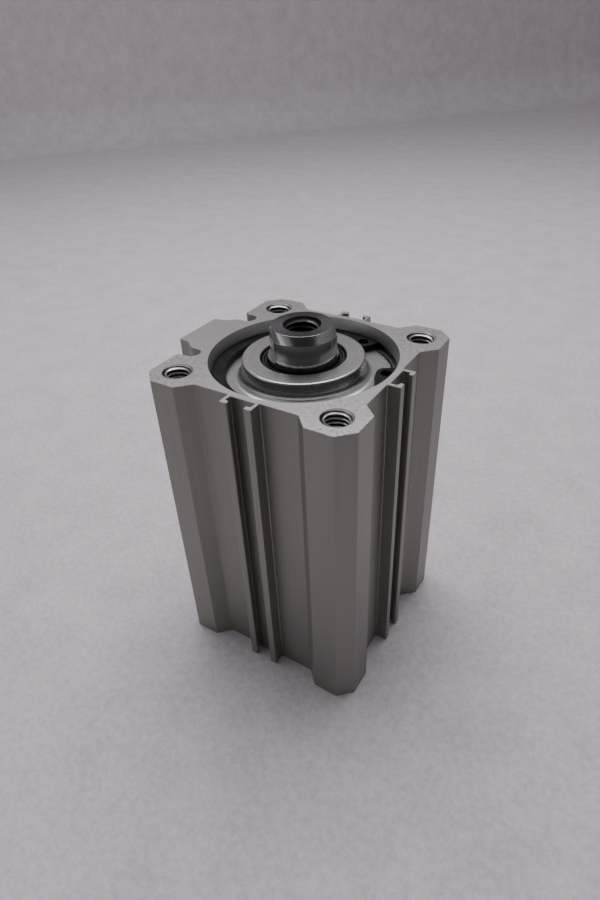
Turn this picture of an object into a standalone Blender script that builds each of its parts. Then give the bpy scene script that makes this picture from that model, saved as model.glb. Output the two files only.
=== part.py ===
"""Compact pneumatic cylinder, 40 mm bore, 40 mm stroke.

A square extruded barrel closed at the rod end by a collar and at the other
end by a cover, each behind an O-ring and held by an internal retaining ring.
Inside runs a two-piece magnetic piston on a chromed rod with a female thread
and wrench flats.  The model stands on its head end: the origin is the centre
of that end face, on the bore axis, and +Z points towards the rod.  The rod is
shown fully retracted.
"""
import math

import bmesh
import bpy
from mathutils import Vector

MM = 0.001

# ---------------------------------------------------------------- dimensions
# all in millimetres
BODY_HALF = 26.0            # half of the 52 mm square
BODY_LEN = 79.5             # 39.5 + stroke
CORNER_HALF = 22.6          # where the corner chamfer starts
STROKE = 40.0
ROD_OUT = 7.3               # rod tip above the end face, retracted

# side faces with a switch rail
RECESS = 22.75              # recessed panel between the corner lobes
LOBE_IN = 13.0              # lobe flank at the recessed panel
LOBE_OUT = 16.15            # lobe flank at the outer face
RAIL_OUT = 3.95             # outer side of each rail rib
RAIL_IN = 3.15              # inner side
RAIL_TIP = 2.10             # tip of the inward hook
RAIL_TOP = 25.85            # rail end, just below the outer face
HOOK_UNDER = 24.60
SLOT_FLOOR = 23.10

# side with the port boss
PORT_FACE = 31.0
BOSS_HALF = 7.0
GROOVE_C = 11.1             # round-bottomed groove either side of the boss
GROOVE_D = 23.2
GROOVE_R = 1.85
PORT_R = 4.3
PORT_DEPTH = 8.5
PORT_PASSAGE_R = 1.5
PORT_HEAD_Z = 10.5
PORT_ROD_Z = 68.5

# corner holes, tapped at both ends
HOLE_PITCH = 40.0
HOLE_R = 2.55
HOLE_RIM_R = 3.35
HOLE_SINK = 0.8

# bore
BORE_R = 20.0
SEAT_R = 20.6               # counterbore that takes the collar and the cover
MOUTH_R = 21.58             # lead-in, narrowing slightly to the ring groove
MOUTH_LOW_R = 21.05
RING_GROOVE_R = 22.2
RING_GROOVE_LOW = 4.75      # below the end face
RING_GROOVE_HIGH = 2.95
ROD_SEAT_DEPTH = 8.5        # depth of the shoulder under the end face
HEAD_SEAT_DEPTH = 8.5

# retaining rings
CLIP_R = 22.0
CLIP_TOP = 3.05
CLIP_T = 1.60
CLIP_BACK_R = 18.05         # inner radius opposite the gap
CLIP_ARM_R = 19.30          # inner radius beside a lug
LUG_R = 16.6
LUG_HOLE_AT = 18.9
LUG_HOLE_R = 1.3
CLIP_GAP_MID = 44.5         # degrees, middle of the gap
CLIP_GAP_HALF = 18.7
LUG_HOLE_TURN = 8.3         # degrees from the gap to the lug hole
LUG_WIDE = 29.0             # degrees

# collar and rod
FLANGE_DEPTH = 4.7
FLANGE_R = 20.3
BOSS_R = 14.0
BOSS_FILLET = 2.0
BOSS_IN_R = 9.8
ROD_R = 8.0
ROD_FLAT = 7.0              # half of the 14 mm across flats
ROD_FLAT_LEN = 7.0
ROD_FLAT_ANGLE = 42.0
ROD_NOSE_R = 6.85
ROD_NOSE_H = 1.8
THREAD_R = 3.32
THREAD_RIM_R = 4.3
THREAD_DEPTH = 16.0
SPIGOT_R = 5.0
GAP = 0.3

PISTON_Z = 10.4
PISTON_TOP = 27.4
PISTON_R = 19.65

SEG = 64                    # facets round the visible turned pieces
SEG_IN = 28                 # facets round the inner ones


# ---------------------------------------------------------------- helpers
def clear_scene():
    for obj in list(bpy.data.objects):
        bpy.data.objects.remove(obj, do_unlink=True)


def material(name, colour, roughness, metallic):
    mat = bpy.data.materials.new(name)
    mat.use_nodes = True
    bsdf = mat.node_tree.nodes["Principled BSDF"]
    bsdf.inputs["Base Color"].default_value = (*colour, 1.0)
    bsdf.inputs["Roughness"].default_value = roughness
    bsdf.inputs["Metallic"].default_value = metallic
    return mat


def new_object(name, bm, mat=None, at=(0.0, 0.0, 0.0), parent=None, smooth=True):
    bmesh.ops.recalc_face_normals(bm, faces=bm.faces)
    mesh = bpy.data.meshes.new(name)
    bm.to_mesh(mesh)
    bm.free()
    obj = bpy.data.objects.new(name, mesh)
    bpy.context.scene.collection.objects.link(obj)
    obj.location = Vector(at) * MM
    if parent is not None:
        obj.parent = parent
    if mat is not None:
        mesh.materials.append(mat)
    if smooth:
        mesh.shade_smooth()
        mesh.set_sharp_from_angle(angle=math.radians(32))
    return obj


def turned(profile, segments, sweep=360.0, start=0.0):
    """Revolve a closed (radius, z) outline about Z; points at radius 0 close it."""
    bm = bmesh.new()
    full = abs(sweep - 360.0) < 1e-6
    count = segments if full else segments + 1
    poles = {i: bm.verts.new((0.0, 0.0, z * MM)) for i, (r, z) in enumerate(profile) if r == 0.0}
    rows = []
    for k in range(count):
        a = math.radians(start + sweep * k / segments)
        rows.append([poles.get(i) or bm.verts.new((r * MM * math.cos(a), r * MM * math.sin(a), z * MM))
                     for i, (r, z) in enumerate(profile)])
    n = len(profile)
    for k in range(segments):
        here, there = rows[k], rows[(k + 1) % count]
        for i in range(n):
            j = (i + 1) % n
            ring = []
            for v in (here[i], here[j], there[j], there[i]):
                if v not in ring:
                    ring.append(v)
            if len(ring) >= 3:
                bm.faces.new(ring)
    if not full:
        bm.faces.new(rows[0])
        bm.faces.new(rows[-1])
    return bm


def plate(outline, z0, z1):
    """Extrude a flat (x, y) outline from z0 to z1."""
    bm = bmesh.new()
    low = [bm.verts.new((x * MM, y * MM, z0 * MM)) for x, y in outline]
    face = bm.faces.new(low)
    grown = bmesh.ops.extrude_face_region(bm, geom=[face])
    lifted = [v for v in grown["geom"] if isinstance(v, bmesh.types.BMVert)]
    bmesh.ops.translate(bm, verts=lifted, vec=(0.0, 0.0, (z1 - z0) * MM))
    return bm


def arc(cx, cy, r, a0, a1, steps):
    return [(cx + r * math.cos(math.radians(a0 + (a1 - a0) * i / steps)),
             cy + r * math.sin(math.radians(a0 + (a1 - a0) * i / steps))) for i in range(steps + 1)]


def cutter(name, bm, at=(0.0, 0.0, 0.0), turn=None):
    obj = new_object(name, bm, at=at, smooth=False)
    if turn is not None:
        obj.rotation_euler = turn
    obj.hide_render = True
    obj.display_type = "WIRE"
    return obj


def cut(target, tool):
    mod = target.modifiers.new(tool.name, "BOOLEAN")
    mod.operation = "DIFFERENCE"
    mod.object = tool


def circle_section(cr, cz, r, sides):
    return [(cr + r * math.cos(2 * math.pi * (i + 0.5) / sides),
             cz + r * math.sin(2 * math.pi * (i + 0.5) / sides)) for i in range(sides)]


# ---------------------------------------------------------------- barrel
def rail_side():
    """Half-open outline of a side with a switch rail, as (along, outward)."""
    left = [(-CORNER_HALF, BODY_HALF), (-LOBE_OUT, BODY_HALF), (-LOBE_IN, RECESS),
            (-RAIL_OUT, RECESS), (-RAIL_OUT, RAIL_TOP), (-RAIL_TIP, RAIL_TOP),
            (-RAIL_TIP, HOOK_UNDER + 0.25), (-RAIL_IN, HOOK_UNDER), (-RAIL_IN, SLOT_FLOOR)]
    return left + [(-t, d) for t, d in reversed(left)]


def port_side():
    """Outline of the side with the port boss and its two round-bottomed grooves."""
    right = [(BOSS_HALF, PORT_FACE), (BOSS_HALF + 0.1, 28.6), (BOSS_HALF + 0.6, 27.4),
             (GROOVE_C - GROOVE_R - 0.6, 26.3), (GROOVE_C - GROOVE_R, 25.0)]
    right += [(GROOVE_C + GROOVE_R * math.cos(math.radians(a)), GROOVE_D + GROOVE_R * math.sin(math.radians(a)))
              for a in range(180, 361, 30)]
    right += [(GROOVE_C + GROOVE_R + 0.1, 25.2), (GROOVE_C + GROOVE_R + 0.6, BODY_HALF),
              (CORNER_HALF, BODY_HALF)]
    return [(-t, d) for t, d in reversed(right)] + right


def barrel_outline():
    pts = []
    # outward directions: -Y, +X, +Y carry rails, -X carries the port boss
    for quarter in range(4):
        side = port_side() if quarter == 3 else rail_side()
        a = math.radians(90 * quarter)
        for t, d in side:
            x, y = t, -d
            pts.append((x * math.cos(a) - y * math.sin(a), x * math.sin(a) + y * math.cos(a)))
    return pts


def bore_profile():
    """Outline of everything the bore tool removes, top end to head end, as (r, z)."""
    top = BODY_LEN
    return [(0.0, top + 2.0), (MOUTH_R + 2.0, top + 2.0), (MOUTH_R, top),
            (MOUTH_LOW_R, top - RING_GROOVE_HIGH), (RING_GROOVE_R, top - RING_GROOVE_HIGH),
            (RING_GROOVE_R, top - RING_GROOVE_LOW), (SEAT_R, top - RING_GROOVE_LOW),
            (SEAT_R, top - ROD_SEAT_DEPTH), (BORE_R, top - ROD_SEAT_DEPTH),
            (BORE_R, HEAD_SEAT_DEPTH), (SEAT_R, HEAD_SEAT_DEPTH), (SEAT_R, RING_GROOVE_LOW),
            (RING_GROOVE_R, RING_GROOVE_LOW), (RING_GROOVE_R, RING_GROOVE_HIGH),
            (MOUTH_LOW_R, RING_GROOVE_HIGH), (MOUTH_R, 0.0),
            (MOUTH_R + 2.0, -2.0), (0.0, -2.0)]


def make_barrel(mat):
    tube = new_object("cylinder_tube", plate(barrel_outline(), 0.0, BODY_LEN), mat)
    cut(tube, cutter("bore_tool", turned(bore_profile(), SEG)))
    rim = HOLE_RIM_R + 1.0
    sink = HOLE_SINK
    hole = [(0.0, BODY_LEN + 1.0), (rim, BODY_LEN + 1.0), (HOLE_RIM_R, BODY_LEN), (HOLE_R, BODY_LEN - sink),
            (HOLE_R, sink), (HOLE_RIM_R, 0.0), (rim, -1.0), (0.0, -1.0)]
    half = HOLE_PITCH / 2
    for i, (sx, sy) in enumerate(((1, 1), (-1, 1), (-1, -1), (1, -1))):
        cut(tube, cutter("corner_hole_tool_%d" % i, turned(hole, 20), at=(sx * half, sy * half, 0.0)))
    # each port: tapped hole, then a small passage into the bore
    port = [(0.0, -2.0), (PORT_R, -2.0), (PORT_R, PORT_DEPTH), (PORT_PASSAGE_R, PORT_DEPTH),
            (PORT_PASSAGE_R, PORT_DEPTH + 6.0), (0.0, PORT_DEPTH + 6.0)]
    for name, z in (("head_port_tool", PORT_HEAD_Z), ("rod_port_tool", PORT_ROD_Z)):
        cut(tube, cutter(name, turned(port, 24), at=(-PORT_FACE, 0.0, z), turn=(0.0, math.radians(90), 0.0)))
    return tube


# ---------------------------------------------------------------- retaining rings
def clip_outline():
    """Internal retaining ring: eccentric C with two lugs, gap towards CLIP_GAP_MID."""
    a0 = CLIP_GAP_HALF
    outer = arc(0, 0, CLIP_R, a0, 360 - a0, 44)
    lug_end = a0 + LUG_WIDE
    inner = []
    steps = 26
    for i in range(steps + 1):
        a = lug_end + 4.0 + (360 - 2 * (lug_end + 4.0)) * i / steps
        mix = 0.5 - 0.5 * math.cos(math.radians(a))
        r = CLIP_ARM_R + (CLIP_BACK_R - CLIP_ARM_R) * mix
        inner.append((r * math.cos(math.radians(a)), r * math.sin(math.radians(a))))
    def lug(sign):
        pts = []
        for a, r in ((a0 + 0.2, 18.9), (a0 + 1.6, 17.7), (a0 + 4.0, 16.9), (a0 + 7.0, LUG_R), (a0 + 14.5, LUG_R),
                     (a0 + 17.5, 16.85), (a0 + 22.0, 17.6), (a0 + 27.0, 18.45), (a0 + 30.5, 18.9)):
            pts.append((r * math.cos(math.radians(sign * a)), r * math.sin(math.radians(sign * a))))
        return pts
    # outer arc runs anticlockwise, then back along the inside
    return outer + lug(-1) + list(reversed(inner)) + list(reversed(lug(1)))


def make_clip(name, mat, z, gap_mid, parent=None):
    ring = new_object(name, plate(clip_outline(), 0.0, CLIP_T), mat, at=(0, 0, z))
    ring.rotation_euler = (0.0, 0.0, math.radians(gap_mid))
    for i, sign in enumerate((1, -1)):
        a = math.radians(gap_mid + sign * (CLIP_GAP_HALF + LUG_HOLE_TURN))
        tool = cutter("%s_lug_tool_%d" % (name, i), turned([(0, -1), (LUG_HOLE_R, -1), (LUG_HOLE_R, CLIP_T + 1), (0, CLIP_T + 1)], 14),
                      at=(LUG_HOLE_AT * math.cos(a), LUG_HOLE_AT * math.sin(a), z))
        cut(ring, tool)
    return ring


# ---------------------------------------------------------------- end pieces
def fillet(z, way):
    """Points of the fillet between a flange at z and the boss, from the flange up the boss."""
    return [(BOSS_R + BOSS_FILLET * (1 - math.cos(math.radians(a))), z + way * BOSS_FILLET * (1 - math.sin(math.radians(a))))
            for a in (90, 60, 30, 0)]


def collar_profile():
    top = BODY_LEN - 0.1
    flange = BODY_LEN - FLANGE_DEPTH
    low = BODY_LEN - 8.2
    nose = BODY_LEN - 11.1
    return [(9.6, nose), (10.6, nose), (10.6, nose + 1.3), (13.4, nose + 1.3), (13.4, nose),
            (18.0, nose), (18.0, low), (FLANGE_R, low), (FLANGE_R, low + 0.55), (18.2, low + 0.55),
            (18.2, low + 2.95), (FLANGE_R, low + 2.95), (FLANGE_R, flange), *fillet(flange, 1), (BOSS_R, top - 0.3), (BOSS_R - 0.3, top),
            (BOSS_IN_R + 0.15, top), (BOSS_IN_R, top - 0.15), (BOSS_IN_R, BODY_LEN - 5.5),
            (8.4, BODY_LEN - 5.5), (8.4, BODY_LEN - 6.1), (9.6, BODY_LEN - 6.1)]


def seal_profile():
    low, high = BODY_LEN - 5.2, BODY_LEN - 0.75
    return [(8.6, low), (9.5, low), (9.5, high - 0.15), (9.35, high), (9.0, high), (8.75, high - 0.7),
            (8.5, high - 0.05), (8.3, high - 0.05), (8.3, high - 0.9), (8.6, high - 1.5)]


def cover_profile():
    """Head cover: the collar's outside, turned over, with a solid middle."""
    nose = 9.3
    return [(0.0, 0.0), (BOSS_R - 0.3, 0.0), (BOSS_R, 0.3), *reversed(fillet(FLANGE_DEPTH, -1)),
            (FLANGE_R, FLANGE_DEPTH), (FLANGE_R, 5.25),
            (18.2, 5.25), (18.2, 7.65), (FLANGE_R, 7.65), (FLANGE_R, 8.2), (18.0, 8.2), (18.0, nose),
            (13.4, nose), (13.4, nose - 1.3), (10.6, nose - 1.3), (10.6, nose), (0.0, nose)]


def front_half_profile():
    z0, z1 = 20.3, PISTON_TOP
    return [(7.2, z0), (PISTON_R - 0.2, z0), (PISTON_R, z0 + 0.2), (PISTON_R, 20.9), (18.3, 20.9), (18.3, 23.1), (PISTON_R, 23.1),
            (PISTON_R, 23.8), (16.4, 23.8), (16.4, 26.4), (PISTON_R, 26.4), (PISTON_R, z1 - 0.5),
            (PISTON_R - 0.5, z1), (5.3, z1), (5.3, 22.3), (7.2, 22.3)]


def rear_half_profile():
    z0 = PISTON_Z
    return [(9.9, z0), (18.1, z0), (18.4, z0 + 0.3), (18.4, 12.6), (PISTON_R, 13.2), (PISTON_R, 16.3),
            (13.7, 16.3), (13.7, 20.0), (5.3, 20.0), (5.3, 16.9), (9.9, 16.9)]


def piston_seal_profile():
    """Lip seal: a solid heel with two lips that wipe the bore."""
    z0, z1 = 24.1, 26.1
    return [(16.7, z0), (19.0, z0), (19.7, z0 + 0.15), (19.7, z0 + 0.55), (19.2, z0 + 1.0),
            (19.7, z1 - 0.55), (19.7, z1 - 0.15), (19.0, z1), (16.7, z1)]


def rod_profile():
    tip = BODY_LEN + ROD_OUT
    shoulder = PISTON_TOP + GAP
    rim_drop = THREAD_RIM_R - THREAD_R
    return [(0.0, 10.8), (SPIGOT_R - 0.5, 10.8), (SPIGOT_R, 11.3), (SPIGOT_R, shoulder), (ROD_R, shoulder),
            (ROD_R, tip - ROD_NOSE_H), (ROD_NOSE_R, tip), (THREAD_RIM_R, tip), (THREAD_R, tip - rim_drop),
            (THREAD_R, tip - THREAD_DEPTH), (0.0, tip - THREAD_DEPTH - 1.6)]


def make_rod(mat, parent):
    rod = new_object("piston_rod", turned(rod_profile(), 36), mat, parent=parent)
    tip = BODY_LEN + ROD_OUT
    for i, turn in enumerate((0.0, 180.0)):
        a = math.radians(ROD_FLAT_ANGLE + turn)
        side = [(ROD_FLAT, -12.0), (ROD_FLAT + 6.0, -12.0), (ROD_FLAT + 6.0, 12.0), (ROD_FLAT, 12.0)]
        side = [(x * math.cos(a) - y * math.sin(a), x * math.sin(a) + y * math.cos(a)) for x, y in side]
        cut(rod, cutter("flat_tool_%d" % i, plate(side, tip - ROD_FLAT_LEN, tip + 2.0)))
    return rod


def make_nut(mat, parent):
    z0, z1 = 10.9, 15.5
    hexagon = [(9.2 * math.cos(math.radians(60 * i + 30)), 9.2 * math.sin(math.radians(60 * i + 30))) for i in range(6)]
    nut = new_object("piston_nut", plate(hexagon, z0, z1), mat, parent=parent)
    cut(nut, cutter("nut_hole_tool", turned([(0, z0 - 1), (5.3, z0 - 1), (5.3, z1 + 1), (0, z1 + 1)], 24)))
    return nut


def ring(r0, r1, z0, z1, c=0.0):
    """Rectangular ring section, with its outer edges chamfered by c."""
    if c == 0.0:
        return [(r0, z0), (r1, z0), (r1, z1), (r0, z1)]
    return [(r0, z0), (r1 - c, z0), (r1, z0 + c), (r1, z1 - c), (r1 - c, z1), (r0, z1)]


# ---------------------------------------------------------------- build
def main():
    clear_scene()
    anodised = material("anodised_aluminium", (0.44, 0.43, 0.42), 0.38, 0.9)
    turned_alu = material("turned_aluminium", (0.62, 0.62, 0.62), 0.28, 1.0)
    chrome = material("hard_chrome", (0.45, 0.45, 0.46), 0.12, 1.0)
    phosphate = material("black_phosphate", (0.02, 0.02, 0.022), 0.45, 0.6)
    nitrile = material("nitrile_rubber", (0.012, 0.012, 0.013), 0.5, 0.0)
    urethane = material("urethane", (0.55, 0.42, 0.2), 0.5, 0.0)
    bronze = material("bronze", (0.5, 0.33, 0.17), 0.35, 1.0)
    cast_alu = material("piston_aluminium", (0.58, 0.58, 0.6), 0.4, 1.0)
    resin = material("resin", (0.35, 0.2, 0.12), 0.5, 0.0)
    ferrite = material("ferrite", (0.08, 0.08, 0.085), 0.6, 0.2)
    plated = material("zinc_plated_steel", (0.6, 0.6, 0.58), 0.3, 1.0)

    make_barrel(anodised)

    new_object("rod_collar", turned(collar_profile(), 40), turned_alu)
    new_object("rod_bushing", turned(ring(8.3, 9.3, BODY_LEN - 10.8, BODY_LEN - 6.4), SEG_IN), bronze)
    new_object("rod_seal", turned(seal_profile(), SEG_IN), nitrile)
    new_object("collar_o_ring", turned(circle_section(19.4, BODY_LEN - 6.45, 0.95, 8), SEG_IN), nitrile)
    new_object("front_bumper", turned(ring(10.9, 13.1, BODY_LEN - 11.9, BODY_LEN - 10.1), SEG_IN), urethane)
    make_clip("front_retaining_ring", phosphate, BODY_LEN - CLIP_TOP - CLIP_T, CLIP_GAP_MID)

    new_object("head_cover", turned(cover_profile(), SEG_IN + 4), turned_alu)
    new_object("head_cover_o_ring", turned(circle_section(19.4, 6.45, 0.95, 8), SEG_IN), nitrile)
    new_object("rear_bumper", turned(ring(10.9, 13.1, 8.3, 10.1), SEG_IN), urethane)
    make_clip("head_retaining_ring", phosphate, CLIP_TOP, -60.0)

    # everything on the rod moves along, and turns about, the bore axis
    axis = bpy.data.objects.new("rod_axis", None)
    bpy.context.scene.collection.objects.link(axis)
    make_rod(chrome, axis)
    new_object("piston_front_half", turned(front_half_profile(), SEG_IN), cast_alu, parent=axis)
    new_object("piston_rear_half", turned(rear_half_profile(), SEG_IN), cast_alu, parent=axis)
    new_object("piston_magnet", turned(ring(14.0, 19.3, 16.6, 20.0), SEG_IN), ferrite, parent=axis)
    new_object("piston_seal", turned(piston_seal_profile(), SEG_IN), nitrile, parent=axis)
    new_object("piston_wear_ring", turned(ring(18.6, 19.7, 21.2, 22.8), SEG_IN + 8, sweep=352.0, start=4.0), resin, parent=axis)
    new_object("piston_o_ring", turned(circle_section(6.1, 21.25, 0.72, 6), 20), nitrile, parent=axis)
    new_object("piston_washer", turned(ring(5.3, 9.2, 15.8, 16.6), 24), plated, parent=axis)
    make_nut(plated, axis)


main()
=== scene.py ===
"""Looks of the compact pneumatic cylinder.

Every CAD node is replaced by a finer mesh of the same piece: real threads,
rounded and chamfered edges, lips, splits and fillets, each with its own
procedural finish.  Nothing is moved or resized: lengths below are in
millimetres in the CAD frame, and the main ones are read from the CAD boxes.
"""
import math

import bmesh
import bpy
from mathutils import Matrix, Vector
from mathutils.geometry import delaunay_2d_cdt


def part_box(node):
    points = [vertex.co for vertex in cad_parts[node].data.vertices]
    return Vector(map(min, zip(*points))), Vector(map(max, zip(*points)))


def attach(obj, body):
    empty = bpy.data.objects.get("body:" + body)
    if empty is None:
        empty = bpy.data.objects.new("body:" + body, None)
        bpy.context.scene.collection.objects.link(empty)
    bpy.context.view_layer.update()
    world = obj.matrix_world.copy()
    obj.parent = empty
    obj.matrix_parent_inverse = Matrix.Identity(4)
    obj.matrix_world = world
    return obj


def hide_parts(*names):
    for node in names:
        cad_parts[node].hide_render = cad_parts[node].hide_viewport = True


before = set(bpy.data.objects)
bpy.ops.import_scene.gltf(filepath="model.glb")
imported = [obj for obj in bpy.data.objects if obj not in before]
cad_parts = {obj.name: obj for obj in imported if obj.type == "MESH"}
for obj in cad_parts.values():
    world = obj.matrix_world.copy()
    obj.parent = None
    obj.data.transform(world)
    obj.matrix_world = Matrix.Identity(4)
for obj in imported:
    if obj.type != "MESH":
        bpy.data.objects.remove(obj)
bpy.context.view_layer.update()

MM = 0.001
TAU = 2.0 * math.pi


def box_mm(node):
    lo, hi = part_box(node)
    return [c / MM for c in lo], [c / MM for c in hi]


# ------------------------------------------------------------------ sizes
TUBE_LO, TUBE_HI = box_mm("cylinder_tube")
ROD_LO, ROD_HI = box_mm("piston_rod")
COLLAR_LO, COLLAR_HI = box_mm("rod_collar")
COVER_LO, COVER_HI = box_mm("head_cover")
CLIP_LO, CLIP_HI = box_mm("front_retaining_ring")
TAIL_CLIP_LO, TAIL_CLIP_HI = box_mm("head_retaining_ring")

TOP = TUBE_HI[2]            # rod end face
BODY = TUBE_HI[0]           # half of the square
PORT_FACE = -TUBE_LO[0]     # port boss face
TIP = ROD_HI[2]             # rod tip
CHAMFER_AT = BODY - 3.4
HOLE_AT = 20.0              # corner holes, half the pitch
BORE_R, SEAT_R, GROOVE_R = 20.0, 20.6, 22.2
MOUTH_R, MOUTH_LOW_R = 21.58, 21.05
FLANGE_DEEP = 4.7           # collar and cover flanges, under the retaining rings
PORTS = (10.5, 68.5)


# ------------------------------------------------------------------ shapes
class Shell:
    """Points and faces of one piece, welded into a closed mesh at the end."""

    def __init__(self):
        self.co, self.faces, self.mats = [], [], []

    def add(self, points, faces, mat=0):
        k = len(self.co)
        self.co.extend(tuple(p) for p in points)
        for f in faces:
            self.faces.append(tuple(k + i for i in f))
            self.mats.append(mat)

    def strips(self, rows, tags, wrap=True, skip=None):
        """Quads between neighbouring rows of points; tags[i] is the finish between rows i and i + 1."""
        n = len(rows[0])
        k = len(self.co)
        for row in rows:
            self.co.extend(tuple(p) for p in row)
        for i in range(len(rows) - 1):
            for j in range(n if wrap else n - 1):
                if skip and skip(i, j):
                    continue
                a, b = k + i * n + j, k + i * n + (j + 1) % n
                self.faces.append((a, b, b + n, a + n))
                self.mats.append(tags[i])


def circle(r, n, cx=0.0, cy=0.0, phase=0.0):
    return [(cx + r * math.cos(phase + TAU * i / n), cy + r * math.sin(phase + TAU * i / n)) for i in range(n)]


def rounded(corners, closed=True, step=18.0):
    """Corners (x, y, radius, tag) to a line with its corners rounded, as (x, y, tag).

    A point's tag is the finish of the stretch that follows it."""
    n = len(corners)
    out = []
    for i, (x, y, radius, tag) in enumerate(corners):
        before = corners[i - 1][3] if (closed or i > 0) else tag
        if radius <= 0.0 or (not closed and i in (0, n - 1)):
            out.append((x, y, tag))
            continue
        ax, ay = corners[i - 1][0] - x, corners[i - 1][1] - y
        bx, by = corners[(i + 1) % n][0] - x, corners[(i + 1) % n][1] - y
        la, lb = math.hypot(ax, ay), math.hypot(bx, by)
        ax, ay, bx, by = ax / la, ay / la, bx / lb, by / lb
        turn = math.pi - math.acos(max(-1.0, min(1.0, ax * bx + ay * by)))
        if turn < 1e-3:
            out.append((x, y, tag))
            continue
        reach = min(radius * math.tan(turn / 2), 0.49 * la, 0.49 * lb)
        radius = reach / math.tan(turn / 2)
        mx, my = ax + bx, ay + by
        lm = math.hypot(mx, my)
        far = math.hypot(reach, radius)
        cx, cy = x + mx / lm * far, y + my / lm * far
        sx, sy = x + ax * reach, y + ay * reach
        ex, ey = x + bx * reach, y + by * reach
        a0 = math.atan2(sy - cy, sx - cx)
        a1 = math.atan2(ey - cy, ex - cx)
        da = (a1 - a0 + math.pi) % TAU - math.pi
        steps = max(1, math.ceil(math.degrees(abs(da)) / step))
        for s in range(steps + 1):
            a = a0 + da * s / steps
            out.append((cx + radius * math.cos(a), cy + radius * math.sin(a),
                        tag if s * 2 >= steps else before))
    return out


def lathe(shell, line, n, closed=True, skip=None, place=None):
    """Turn a line of (r, z, tag) about Z."""
    rows = []
    for r, z, _ in line:
        row = [(x, y, z) for x, y in circle(r, n)]
        rows.append([place(*p) for p in row] if place else row)
    tags = [t for _, _, t in line]
    if closed:
        rows.append(rows[0])
    shell.strips(rows, tags, skip=skip)


def swept(shell, line, n, a0, a1, slant=0.0, tag=0):
    """Turn a closed line of (r, z, tag) from a0 to a1, and close its two ends. slant shifts the ends along Z."""
    z0 = min(z for _, z, _ in line)
    z1 = max(z for _, z, _ in line)
    rows = []
    for r, z, _ in line + line[:1]:
        lean = slant * ((z - z0) / (z1 - z0) - 0.5)
        rows.append([(r * math.cos(a), r * math.sin(a), z)
                     for a in ((a0 + lean) + (a1 - a0) * i / n for i in range(n + 1))])
    shell.strips(rows, [t for _, _, t in line], wrap=False)
    for i in (0, n):
        flat = [(r, z) for r, z, _ in line]
        tris, pts = fill(flat, [])
        lean = [slant * ((z - z0) / (z1 - z0) - 0.5) for _, z in pts]
        a = a0 if i == 0 else a1
        shell.add([(r * math.cos(a + l), r * math.sin(a + l), z) for (r, z), l in zip(pts, lean)], tris, tag)


def inside(loop, x, y):
    hit = False
    j = len(loop) - 1
    for i in range(len(loop)):
        xi, yi = loop[i][0], loop[i][1]
        xj, yj = loop[j][0], loop[j][1]
        if (yi > y) != (yj > y) and x < (xj - xi) * (y - yi) / (yj - yi) + xi:
            hit = not hit
        j = i
    return hit


def fill(outer, holes):
    """Triangles between a loop and the holes in it, and the points they use."""
    pts, edges = [], []
    for loop in [outer] + list(holes):
        k, n = len(pts), len(loop)
        pts += [Vector((p[0], p[1])) for p in loop]
        edges += [(k + i, k + (i + 1) % n) for i in range(n)]
    got = delaunay_2d_cdt(pts, edges, [], 0, 1e-7)
    co, tris = [(v[0], v[1]) for v in got[0]], []
    for f in got[2]:
        x = sum(co[i][0] for i in f) / len(f)
        y = sum(co[i][1] for i in f) / len(f)
        if inside(outer, x, y) and not any(inside(h, x, y) for h in holes):
            tris.append(tuple(f))
    return tris, co


def cap(shell, outer, holes, z, mat=0, place=None):
    tris, co = fill(outer, holes)
    pts = [(x, y, z) for x, y in co]
    shell.add([place(*p) for p in pts] if place else pts, tris, mat)


def inset(loop, d):
    """An anticlockwise loop moved inwards by d, or outwards where d is negative."""
    n = len(loop)
    out = []
    for i in range(n):
        x, y = loop[i][0], loop[i][1]
        ax, ay = x - loop[i - 1][0], y - loop[i - 1][1]
        bx, by = loop[(i + 1) % n][0] - x, loop[(i + 1) % n][1] - y
        la, lb = math.hypot(ax, ay), math.hypot(bx, by)
        n1, n2 = (-ay / la, ax / la), (-by / lb, bx / lb)
        mx, my = n1[0] + n2[0], n1[1] + n2[1]
        k = 2.0 * d / (mx * mx + my * my)
        out.append((x + mx * k, y + my * k))
    return out


def threaded(shell, place, rim, crest, root, pitch, deep, cols, cone, flank, sink=1.0, foot=None):
    """A right-hand internal thread. place(a, b, s) is the point a, b across the hole and s below its face."""
    phases = [(0.0, crest), (0.125, crest), (0.25, crest), (0.4, (crest + root) / 2 + 0.01), (0.57, root),
              (0.68, root), (0.85, (crest + root) / 2 + 0.01)]
    rows, tags = [], []
    for m in range(-1, math.ceil(deep / pitch) + 1):
        for ph, r_thread in phases:
            row = []
            base = (m + ph) * pitch
            for k in range(cols + 1):
                s = base + pitch * k / cols
                a = -TAU * k / cols
                if s <= 1e-9:
                    s, r = 0.0, rim
                elif s >= deep - 1e-9:
                    s, r = deep, crest
                else:
                    r = max(r_thread, rim - s / sink) if foot is None or s < foot else r_thread
                row.append(place(r * math.cos(a), r * math.sin(a), s))
            rows.append(row)
            tags.append(cone if base + pitch * (0.5 if foot is None else 0.9) < (foot or (rim - crest) * sink) else flank)
    shell.strips(rows, tags, wrap=False)


PIECES = []


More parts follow.
